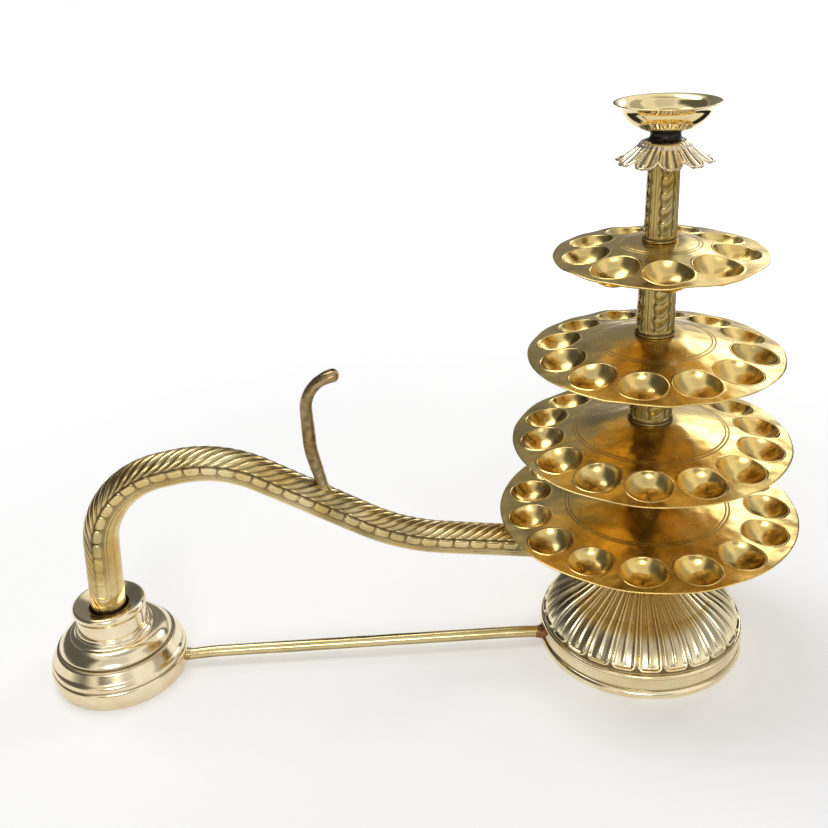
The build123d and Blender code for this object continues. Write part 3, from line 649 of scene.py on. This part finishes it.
# Main foot: rolled edge, band and ridge, and a dome of petals with two flutes each
foot_petals = 24
foot_segments = foot_petals * 26
petal_start, petal_stop, petal_fade = 22.6, 61.5, 6
foot_crown = 69.9
band_groove = 8.1
petal_corner, corner_share = 5.0, 0.62
bead_at, bead_rise, ridge_begins, ridge_rise, ridge_width = (2.0, 0.85), 0.9, (3.5, 7.5), 1.0, 1.0
flute_from, flute_depth, gap_depth = (2.2, 4.4), 0.6, 1.1
crease_at, crease_begins, crease_shade = (3.6, 0.6), (3, 8), 0.55
flute_darkens, flute_shade = (3, 16), 0.45
groove_width, upper_groove_width, upper_groove_shade = 0.55, 0.5, 0.7
foot_shape = outline(
    (70.5, 0.0),
    ((74.0, 0.0), 1),
    ((78.0, 3.8), (75.0, 7.6), 16),
    ((76.4, 8.6), 2),
    ((76.4, 18.4), 4),
    ((77.2, 20.1), (75.0, 21.8), 10),
    ((75.0, 23.5), 3),
    ((65.5, 38.0), (51.5, 48.4), 62),
    ((33.0, 60.5), 30),
    ((25.7, 64.8), (22.5, foot_crown), 8),
    ((4.3, foot_crown), 2),
    ((4.3, 66.0), 2),
    ((19.3, 66.0), 2),
    ((48.3, 45.2), 3),
    ((62.3, 34.8), (70.5, 23.5), 8),
    ((70.5, 0.2), 3),
)


def foot_relief(profile, segments):
    """Push and darkening of the petals on the dome: a bead round each, a middle ridge and two flutes. The
    darkening is painted shade in the gaps, creases and flutes, and along the creases at the foot and top of
    the band.
    """
    profile = np.array(profile)
    radius, height = profile[:, :1], profile[:, 1:]
    outside = np.cumprod(height < foot_crown - 0.9)[:, None]
    run = lengths(profile)[:, None]
    along = run - run[np.argmax(height >= petal_start)]
    stop = run[np.argmax(height >= petal_stop)]
    sector = FULL_TURN / foot_petals
    across = (around(segments) % sector)[None, :] / (sector / 2) - 1
    half = radius * sector / 2
    scale = half / half.max()
    inside = within_corner((1 - np.abs(across)) * half, along, np.minimum(petal_corner, half * corner_share))
    fade = smooth(stop + petal_fade, stop - petal_fade, run) * outside
    gap = smooth(scale, 0.15, inside) * smooth(-2.0, 0.3, along)
    inset = inside / scale
    bead = bell(inset, *bead_at)
    ridge = bell(np.abs(across) * half / scale, 0, ridge_width) * smooth(*ridge_begins, along)
    flute = smooth(*flute_from, inset) * (1 - ridge)
    crease = bell(inset, *crease_at) * smooth(*crease_begins, along)
    push = bead_rise * bead + ridge_rise * ridge - flute_depth * flute - gap_depth * gap
    push = push * fade * (1 + scale) / 2
    # Painted shade in the gaps between petals, along a crease inside each, and in the flutes, more so further
    # up
    dark = gap + crease_shade * crease + flute_shade * flute * smooth(*flute_darkens, along)
    # Painted shade along the creases at the foot and top of the band
    upper_groove = upper_groove_shade * bell(height, petal_start, upper_groove_width)
    groove = outside * (bell(height, band_groove, groove_width) + upper_groove)
    return push, np.clip(fade * np.clip(dark, 0, 1) + groove, 0, 1)


foot_push, foot_dark = foot_relief(foot_shape, foot_segments)
foot_skin = tube("foot", turned(column_x, foot_shape, foot_push, foot_segments), foot_dark, hollow=True)
dress(foot_skin, "stand", "foot_brass", foot_finish, "main_foot")

# Handle foot: two beads, a step, a domed tier and a cove under the collar, with painted shade along two
# creases
base_top = 42.6
base_grooves = {16.0: 1.0, 30.3: 0.8}
base_shape = outline(
    (47.6, 0.0),
    ((50.2, 0.0), 1),
    ((51.9, 6.2), (52.4, 12.5), 12),
    ((52.0, 14.4), (50.8, 16.0), 8),
    ((50.9, 19.5), (49.2, 21.7), 10),
    ((45.0, 30.0), 6),
    ((41.2, 30.4), 3),
    ((42.3, 31.1), (42.8, 32.4), 6),
    ((39.2, 37.2), (33.6, 40.6), 16),
    ((30.4, 41.1), (28.8, base_top), 8),
    ((5.0, base_top), 2),
    ((5.0, 39.6), 2),
    ((25.4, 39.6), 2),
    ((37.6, 30.0), 2),
    ((47.6, 19.5), 2),
    ((47.6, 0.2), 2),
)
base_height = np.array(base_shape)[:, 1:]
base_outside = np.cumprod(base_height < base_top - 0.2)[:, None]
# Painted shade along the creases at two heights
base_dark = base_outside * sum(deep * bell(base_height, level, 0.5) for level, deep in base_grooves.items())
base_dark = np.clip(base_dark, 0, 1) * np.ones((1, turned_segments))
base_skin = tube("handle_base", turned(handle_x, base_shape), base_dark, hollow=True)
dress(base_skin, "stand", "handle_foot_brass", base_finish, "handle_foot")

# Collar on that foot: bent from a strip, with a seam, a rolled lip and painted shade in the recess round the
# tube
collar_top = base_top + 22.4
collar_seam, seam_width, seam_depth = math.radians(-14), 0.035, 0.5
collar_shape = outline(
    (4.3, base_top),
    ((28.4, base_top), 1),
    ((27.0, base_top + 0.9), (26.4, base_top + 3.0), 6),
    ((26.4, collar_top - 6.5), 8),
    ((27.9, collar_top - 3.0), (25.6, collar_top), 14),
    ((22.4, collar_top - 0.9), (18.4, collar_top - 2.6), 10),
    ((14.6, collar_top - 3.8), 4),
    ((13.7, base_top + 7.4), 6),
    ((4.3, base_top + 7.4), 2),
)
collar_radius, collar_height = np.hsplit(np.array(collar_shape), 2)
collar_wall = (collar_radius > 20) * smooth(base_top + 3, base_top + 5, collar_height)
collar_wall = collar_wall * smooth(collar_top - 5, collar_top - 7, collar_height)
seam_angle = (around(turned_segments) - collar_seam + math.pi) % FULL_TURN - math.pi
collar_cut = bell(seam_angle, 0, seam_width)[None, :] * collar_wall
# Painted shade deep in the recess round the tube
collar_recess_shade = smooth(17.0, 14.4, collar_radius) * smooth(base_top + 5, base_top + 12, collar_height)
collar_skin = turned(handle_x, collar_shape, -seam_depth * collar_cut)
collar_skin = tube("handle_cup", collar_skin, np.clip(collar_cut + collar_recess_shade, 0, 1))
dress(collar_skin, "stand", "handle_foot_brass", base_finish, "handle_collar")

# Handle: a tube along straight runs and round bends, chased as a snake
handle_route = [
    (handle_x, 50.0), (handle_x, 66.0), (handle_x + 9.9, 166.2), (handle_x + 102.0, 182.5),
    (column_x - 182.5, 106.8), (column_x - 12.0, 84.6),
]
handle_bends = (100.0, 66.0, 88.0, 150.0)
handle_root, handle_tail, handle_sink = 13.3, 12.0, 0.25
handle_step, handle_segments, bend_steps = 0.8, 120, 60
rope_pitch, rope_slant, rope_depth, rope_set, rope_round = 7.6, 1.1, 1.4, 0.7, 0.6
rope_curl, curl_begins, rope_ends, rope_shade = 3.2, (-7, 0.5), (0.5, -0.6), 0.9
scale_pitch, scale_tall, scale_corner, scale_gap, scale_lap = 12.2, 6.8, 3.6, 0.25, 0.8
scale_begins, scale_ends, scale_height, scale_set, scale_crown = (0.3, 0.9), (1.4, 0.9), 0.95, 0.55, 3.4
ring_at, notch_from, ring_cut, notch_shade = (0.1, 0.42), (-0.3, -0.9), 0.5, 0.8
root_from, root_shade = (2.6, 0.4), 0.9
edge_arch, edge_tail, edge_change = math.radians(70), math.radians(57), (250, 480)
lines_at, line_cut, line_shade = ((1.7, 0.4), (3.6, 0.36)), 0.32, 0.8
seam_at, seam_cut = (0.35, 0.55), 0.6
worn_end, worn_share, socket_shade_end = (25, 85), 0.35, (17, 10)


def bent(route, bends, step):
    """Points, headings and lengths along a route in the XZ plane with its corners rounded to given radii."""
    corners = [np.array(p, float) for p in route]
    points = [corners[0]]
    for before, corner, after, radius in zip(corners, corners[1:], corners[2:], bends):
        way_in = (before - corner) / np.linalg.norm(before - corner)
        way_out = (after - corner) / np.linalg.norm(after - corner)
        half = math.acos(np.clip(way_in @ way_out, -1, 1)) / 2
        reach = radius / math.tan(half)
        first, last = corner + way_in * reach, corner + way_out * reach
        bisector = (way_in + way_out) / np.linalg.norm(way_in + way_out)
        middle = corner + bisector * (radius / math.sin(half) - radius)
        points += [first, *arc(first, middle, last, bend_steps)]
    points = np.array([*points, corners[-1]])
    run = lengths(points)
    even = np.linspace(0, run[-1], int(run[-1] / step) + 1)
    path = np.column_stack([np.interp(even, run, points[:, i]) for i in (0, 1)])
    heading = np.gradient(path, axis=0)
    return path, heading / np.linalg.norm(heading, axis=1, keepdims=True), even


def swept(path, heading, radius, angle):
    """Rings of points round a path in the XZ plane. Angle 0 is outside the bends, a quarter turn is -Y."""
    outward = np.stack([-heading[:, 1], heading[:, 0]], -1)[:, None, :]
    x = path[:, None, 0] + radius * np.cos(angle) * outward[..., 0]
    z = path[:, None, 1] + radius * np.cos(angle) * outward[..., 1]
    return np.stack([x, -radius * np.sin(angle) + 0 * x, z], -1)


def snake_relief(run, angle):
    """Push and darkening of the chasing: slanted ropes over the back, and scales and two lines on each side.
    The darkening is painted shade in the grooves, a painted shadow band under the rope ends at the top of the
    scales, and painted shade where the tube goes into the collar.
    """
    edge = edge_arch + (edge_tail - edge_arch) * smooth(*edge_change, run)
    past = handle_tail * (np.abs(angle) - edge)
    curl = rope_curl * smooth(*curl_begins, past) ** 2 * np.sign(angle)
    rope = np.abs(np.sin(math.pi * (run + rope_slant * handle_tail * angle + curl) / rope_pitch))
    on_back = smooth(*rope_ends, past)
    from_side = scale_pitch / 2 - np.abs((run / scale_pitch) % 1 - 0.5) * scale_pitch - scale_gap
    below = past - scale_tall
    inside = within_corner(from_side, scale_lap - below, scale_corner)
    row = smooth(*scale_begins, past) * smooth(*scale_ends, below)
    ring = bell(inside, *ring_at)
    notch = smooth(*notch_from, inside)
    raised = scale_height * np.sqrt(np.clip(inside / scale_crown, 0, 1))
    root = smooth(*root_from, past)
    lines = sum(bell(below, *line_at) for line_at in lines_at)
    seam = bell(past, *seam_at)
    push = on_back * rope_depth * (rope**rope_round - rope_set)
    push = push + row * (raised - scale_set - ring_cut * (ring + notch)) - line_cut * lines - seam_cut * seam
    # Painted shade between the ropes and in the scale outlines, notches and lines, and a painted shadow band
    # under the rope ends
    dark = on_back * (1 - rope) ** rope_shade
    dark = dark + row * np.clip(ring + notch_shade * notch + root_shade * root, 0, 1)
    dark = dark + line_shade * lines + seam
    fresh = worn_share + (1 - worn_share) * smooth(*worn_end, run)
    # Painted shade where the tube goes into the collar
    socket = smooth(*socket_shade_end, run)
    return push * fresh, np.clip(dark * fresh + socket, 0, 1)


handle_path, handle_heading, handle_run = bent(handle_route, handle_bends, handle_step)
handle_angle = ((around(handle_segments) + math.pi) % FULL_TURN - math.pi)[None, :]
handle_push, handle_dark = snake_relief(handle_run[:, None], handle_angle)
handle_radius = (handle_root + (handle_tail - handle_root) * handle_run / handle_run[-1])[:, None]
handle_skin = swept(handle_path, handle_heading, handle_radius + handle_push - handle_sink, handle_angle)
dress(tube("snake_handle", handle_skin, handle_dark), "stand", "handle_brass", handle_finish, "handle")

# Thumb rest: a rough cast snake that leans back, straightens and bends its head over to the lamp
rest_share, rest_step, rest_segments = 0.547, 0.6, 48
rest_root_x, rest_root_z = handle_path[int(rest_share * (len(handle_path) - 1))]
rest_back = rest_root_x - 9.2
rest_route = [
    (rest_root_x, rest_root_z), (rest_back, rest_root_z + 47.0), (rest_back, rest_root_z + 97.5),
    (rest_back + 25.5, rest_root_z + 104.0),
]
rest_bends = (60.0, 26.0)
rest_thick, rest_belly, belly_at, rest_head, head_at = 3.7, 0.8, (0.45, 0.28), 0.35, (0.95, 0.06)
rest_round, rest_end = 4.4, 4.3
flat_body, flat_head, head_begins = 0.1, 0.25, (0.82, 0.96)
rest_ripples = ((0.14, 5, 7, 91), (0.07, 9, 2.6, 92))
spine_at, spine_rise, flank_at, flank_cut = (math.pi, 0.5), 0.35, (1.1, 0.25), 0.25
rest_shade, rough_shade, rest_bright, bright_begins = 0.3, 2.4, 0.3, (0.8, 0.95)
rest_path, rest_heading, rest_run = bent(rest_route, rest_bends, rest_step)
rest_angle = around(rest_segments)[None, :]
rest_run = rest_run[:, None]
rest_along = rest_run / rest_run[-1]
rest_ended = ((rest_run - rest_run[-1] + rest_end) / rest_round).clip(0, 1)
rest_tip = np.sqrt(np.clip(1 - rest_ended**2, 0.002, 1))
rest_size = rest_thick + rest_belly * bell(rest_along, *belly_at) + rest_head * bell(rest_along, *head_at)
rest_broad = 1 + (flat_body + flat_head * smooth(*head_begins, rest_along)) * np.abs(np.sin(rest_angle))
rest_rough = sum(
    depth * ripple(rest_run, rest_angle * stretch, size, seed) for depth, stretch, size, seed in rest_ripples
)
rest_ridge = spine_rise * bell(rest_angle, *spine_at) - flank_cut * bell(rest_angle, *flank_at)
rest_radius = (rest_size * rest_broad + rest_rough + rest_ridge) * rest_tip
rest_skin = swept(rest_path, rest_heading, rest_radius, rest_angle)
rest_dark = rest_shade - rough_shade * rest_rough - rest_bright * smooth(*bright_begins, rest_along)
rest_dark = np.clip(rest_dark, 0, 0.8)
dress(tube("thumb_snake", rest_skin, rest_dark), "stand", "rest_bronze", rest_finish, "thumb_rest")

# Brace rod, a little bowed, with a painted dark reflection streak along it
brace_low, brace_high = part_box("brace_rod")
brace_level = (brace_low.z + brace_high.z) / 2 / MM
brace_radius = (brace_high.z - brace_low.z) / 2 / MM
brace_rows, brace_segments = 260, 40
brace_bow, brace_drop, drop_share = 0.6, {0: 1.6, 1: 0.8}, 0.06
brace_sink, brace_rough = 0.15, 0.08
reflection_streak_angle, reflection_streak_width = 0.62 * math.pi, 0.2
brace_run = np.linspace(brace_low.x, brace_high.x, brace_rows) / MM
brace_share = np.linspace(0, 1, brace_rows)
brace_fall = sum(drop * bell(brace_share, end, drop_share) for end, drop in brace_drop.items())
brace_path = np.column_stack([brace_run, brace_level + brace_bow - brace_fall])
brace_heading = np.tile((1.0, 0.0), (brace_rows, 1))
brace_angle = around(brace_segments)[None, :]
brace_uneven = brace_rough * ripple(brace_run[:, None], brace_angle * 5, 26, 56)
brace_skin = swept(brace_path, brace_heading, brace_radius - brace_sink + brace_uneven, brace_angle)
# Painted reflection: a dark streak along the rod that comes and goes along its length
streak_strength = 0.75 + 0.25 * ripple(brace_run[:, None], brace_angle, 30, 55)
brace_painted_reflection = np.clip(bell(brace_angle, reflection_streak_angle, reflection_streak_width) * streak_strength, 0, 0.9)
dress(tube("brace", brace_skin, brace_painted_reflection), "stand", "brace_brass", brace_finish, "brace_rod")

# Lumps of brazing at the ends of the rod and at the root of the thumb rest
lump_rows, lump_segments, lump_run_out = 30, 48, 2.2
lump_start, lump_drop = 0.2, 0.4
rest_lump_from, rest_lump_to, rest_lump_thick, rest_lump_thin = 6.0, 23.0, 8.0, 3.9


def lump(name, path, heading, thick, thin, seed):
    """A fillet of brazing that runs out from thick to thin along a path, uneven as it froze."""
    share = np.linspace(0, 1, len(path))[:, None]
    angle = around(lump_segments)[None, :]
    uneven = ripple(share * 9, 6 * np.cos(angle), 7, seed) * 0.5
    uneven = uneven + ripple(share * 9, 6 * np.sin(angle), 4, seed + 1) * 0.25
    radius = thin + (thick - thin) * (1 - share) ** lump_run_out
    radius = radius + uneven * (1 - share) * smooth(0, 0.15, share)
    # Painted shade: darker where the lump dips
    return tube(name, swept(path, heading, radius, angle), np.clip(0.25 - 0.5 * uneven, 0, 0.7))


for node, inner, way, thick, seed, slot, finish in (
    ("brace_brazing_lamp", brace_high.x, -1, 8.0, 61, "copper_brazing", copper_finish),
    ("brace_brazing_handle", brace_low.x, 1, 7.2, 63, "brazing", braze_finish),
):
    node_low, node_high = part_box(node)
    lump_x = inner / MM + way * np.linspace(lump_start, (node_high.x - node_low.x) / MM, lump_rows)
    lump_path = np.column_stack([lump_x, np.full(lump_rows, brace_level - lump_drop)])
    lump_heading = np.tile((float(way), 0.0), (lump_rows, 1))
    lump_skin = lump(f"lump_{node}", lump_path, lump_heading, thick, brace_radius, seed)
    dress(lump_skin, "stand", slot, finish, node)
rest_foot = ((rest_run > rest_lump_from) & (rest_run < rest_lump_to)).ravel()
rest_lump = lump(
    "lump_thumb_rest", rest_path[rest_foot], rest_heading[rest_foot], rest_lump_thick, rest_lump_thin, 65
)
dress(rest_lump, "stand", "brazing", braze_finish, "thumb_rest_brazing")

# Pieces whose solids need no more than their finish
for node, finish in {
    "handle_hub": hub_finish,
    "sleeve_bushings": inner_finish,
    "handle_plug": inner_finish,
    "centre_rod": steel_finish,
    "foot_nut": steel_finish,
    "foot_washer": steel_finish,
    "handle_bolt": steel_finish,
    "handle_washer": steel_finish,
}.items():
    nodes[node].data.materials.clear()
    nodes[node].data.materials.append(finish)


def background_rays(tree):
    """1 for what the camera, gloss or glass looks at, 0 for light that falls on other things."""
    path = tree.nodes.new("ShaderNodeLightPath").outputs
    seen = joined(tree, "MAXIMUM", path["Is Camera Ray"], path["Is Glossy Ray"])
    return joined(tree, "MAXIMUM", seen, path["Is Transmission Ray"])


# Floor, in metres: it glows towards white away from the lamp, for the eye and for gloss, and keeps the shadow
floor_half = 12.0
floor_grey = (0.85, 0.85, 0.85, 1.0)
floor_glow = {"From Min": 0.4, "From Max": 1.6, "To Min": 0.3, "To Max": 0.78}


def floor_finish():
    """A pale floor whose own glow grows with the distance from the lamp."""
    material = bpy.data.materials.new("floor_white")
    material.use_nodes = True
    tree = material.node_tree
    tree.nodes.remove(tree.nodes["Principled BSDF"])
    diffuse = tree.nodes.new("ShaderNodeBsdfDiffuse")
    diffuse.inputs["Color"].default_value = floor_grey
    place = tree.nodes.new("ShaderNodeTexCoord")
    distance = tree.nodes.new("ShaderNodeVectorMath")
    distance.operation = "LENGTH"
    tree.links.new(place.outputs["Object"], distance.inputs[0])
    ramp = tree.nodes.new("ShaderNodeMapRange")
    ramp.interpolation_type = "SMOOTHSTEP"
    for socket, value in floor_glow.items():
        ramp.inputs[socket].default_value = value
    tree.links.new(distance.outputs["Value"], ramp.inputs["Value"])
    glow = tree.nodes.new("ShaderNodeEmission")
    strength = joined(tree, "MULTIPLY", background_rays(tree), ramp.outputs["Result"])
    tree.links.new(strength, glow.inputs["Strength"])
    both = tree.nodes.new("ShaderNodeAddShader")
    tree.links.new(diffuse.outputs[0], both.inputs[0])
    tree.links.new(glow.outputs[0], both.inputs[1])
    tree.links.new(both.outputs[0], tree.nodes["Material Output"].inputs["Surface"])
    return material


floor_mesh = bpy.data.meshes.new("floor")
floor_corners = [(x * floor_half, y * floor_half, 0) for x, y in ((-1, -1), (1, -1), (1, 1), (-1, 1))]
floor_mesh.from_pydata(floor_corners, [], [(0, 1, 2, 3)])
floor_mesh.materials.append(floor_finish())
floor = placed("floor", floor_mesh)

# World: white to the eye, gloss and glass, a plain level of light on everything else
room_light = 0.4
world = bpy.data.worlds.new("studio")
bpy.context.scene.world = world
world.use_nodes = True
sky = world.node_tree.nodes["Background"].inputs
sky["Color"].default_value = (1.0, 1.0, 1.0, 1.0)
shown = joined(world.node_tree, "MULTIPLY", background_rays(world.node_tree), 1.0 - room_light)
world.node_tree.links.new(joined(world.node_tree, "ADD", shown, room_light), sky["Strength"])

# Studio screens that gloss alone sees: far ones darken the room, and two flags stand close by the plates
screen_rows, screen_columns, screen_edge = 25, 49, 0.3
screen_distance, flag_distance = 3.0, 0.3
flag_centre = (column_x, 0.0, 210.0)


def screen(name, azimuth, elevation, level, distance=screen_distance, centre=(0.0, 0.0, 0.0)):
    """Part of a ball, in degrees from +Y to +X and up, with soft edges and its own level of light."""
    turn = np.radians(np.linspace(*azimuth, screen_columns))[None, :]
    rise = np.radians(np.linspace(*elevation, screen_rows))[:, None]
    flat = distance * np.cos(rise)
    points = np.stack([flat * np.sin(turn), flat * np.cos(turn), distance * np.sin(rise) + 0 * turn], -1)
    points = points.reshape(-1, 3) / MM + np.array(centre)
    fade_up, fade_round = [
        smooth(0, screen_edge, 1 - np.abs(np.linspace(-1, 1, count)))
        for count in (screen_rows, screen_columns)
    ]
    ids = np.arange(screen_rows * screen_columns).reshape(screen_rows, screen_columns)
    obj = piece(name, points, grid_faces(ids), fade_up[:, None] * fade_round[None, :])
    finish = bpy.data.materials.new(name)
    finish.use_nodes = True
    tree = finish.node_tree
    shade = tree.nodes.new("ShaderNodeAttribute")
    shade.attribute_name = "darkening"
    clear = tree.nodes.new("ShaderNodeBsdfTransparent")
    glow = tree.nodes.new("ShaderNodeEmission")
    glow.inputs["Strength"].default_value = level
    mix = tree.nodes.new("ShaderNodeMixShader")
    for socket, source in zip(mix.inputs, (shade.outputs["Fac"], clear.outputs[0], glow.outputs[0])):
        tree.links.new(source, socket)
    tree.links.new(mix.outputs[0], tree.nodes["Material Output"].inputs["Surface"])
    obj.data.materials.append(finish)
    obj.visible_camera = obj.visible_diffuse = obj.visible_shadow = obj.visible_transmission = False


screen("screen_back", (-30, 28), (-2, 53), 0.22)
screen("screen_front_low", (148, 214), (0, 17), 0.15)
screen("screen_top", (70, 290), (68, 89), 0.5)
screen("screen_back_left", (-145, -16), (-2, 60), 0.12)
screen("screen_low_right", (22, 50), (-2, 15), 0.5)
screen("screen_right", (72, 114), (-2, 55), 0.5)
screen("screen_front", (145, 220), (26, 66), 0.72)
screen("flag_left", (-74, -32), (-40, 42), 0.03, flag_distance, flag_centre)
screen("flag_right", (48, 84), (-40, 42), 0.02, flag_distance, flag_centre)


def softbox(name, place, aim, width, height, power):
    """A studio lamp at place, turned to aim, in metres and watts."""
    light = bpy.data.lights.new(name, "AREA")
    light.shape = "ELLIPSE"
    light.size, light.size_y = width, height
    light.energy = power
    lamp = placed(name, light)
    lamp.location = place
    lamp.rotation_euler = (Vector(aim) - Vector(place)).to_track_quat("-Z", "Y").to_euler()


softbox("key", (-0.5, 0.45, 1.9), (0.15, 0, 0.15), 1.2, 1.2, 12)
softbox("second", (1.15, 1.1, 0.95), (0.18, 0, 0.2), 0.7, 0.5, 3.5)
softbox("front", (-0.2, -1.8, 0.85), (0.1, 0, 0.12), 0.9, 0.5, 7)

camera_data = bpy.data.cameras.new("camera")
camera_data.lens, camera_data.sensor_width, camera_data.clip_start = camera_lens, camera_sensor, camera_near
camera = placed("camera", camera_data)
camera_aim = Euler([math.radians(degrees) for degrees in camera_turn])
camera.matrix_world = Matrix.LocRotScale(camera_place * MM, camera_aim, None)
bpy.context.scene.camera = camera
bpy.context.scene.view_settings.view_transform = "Standard"
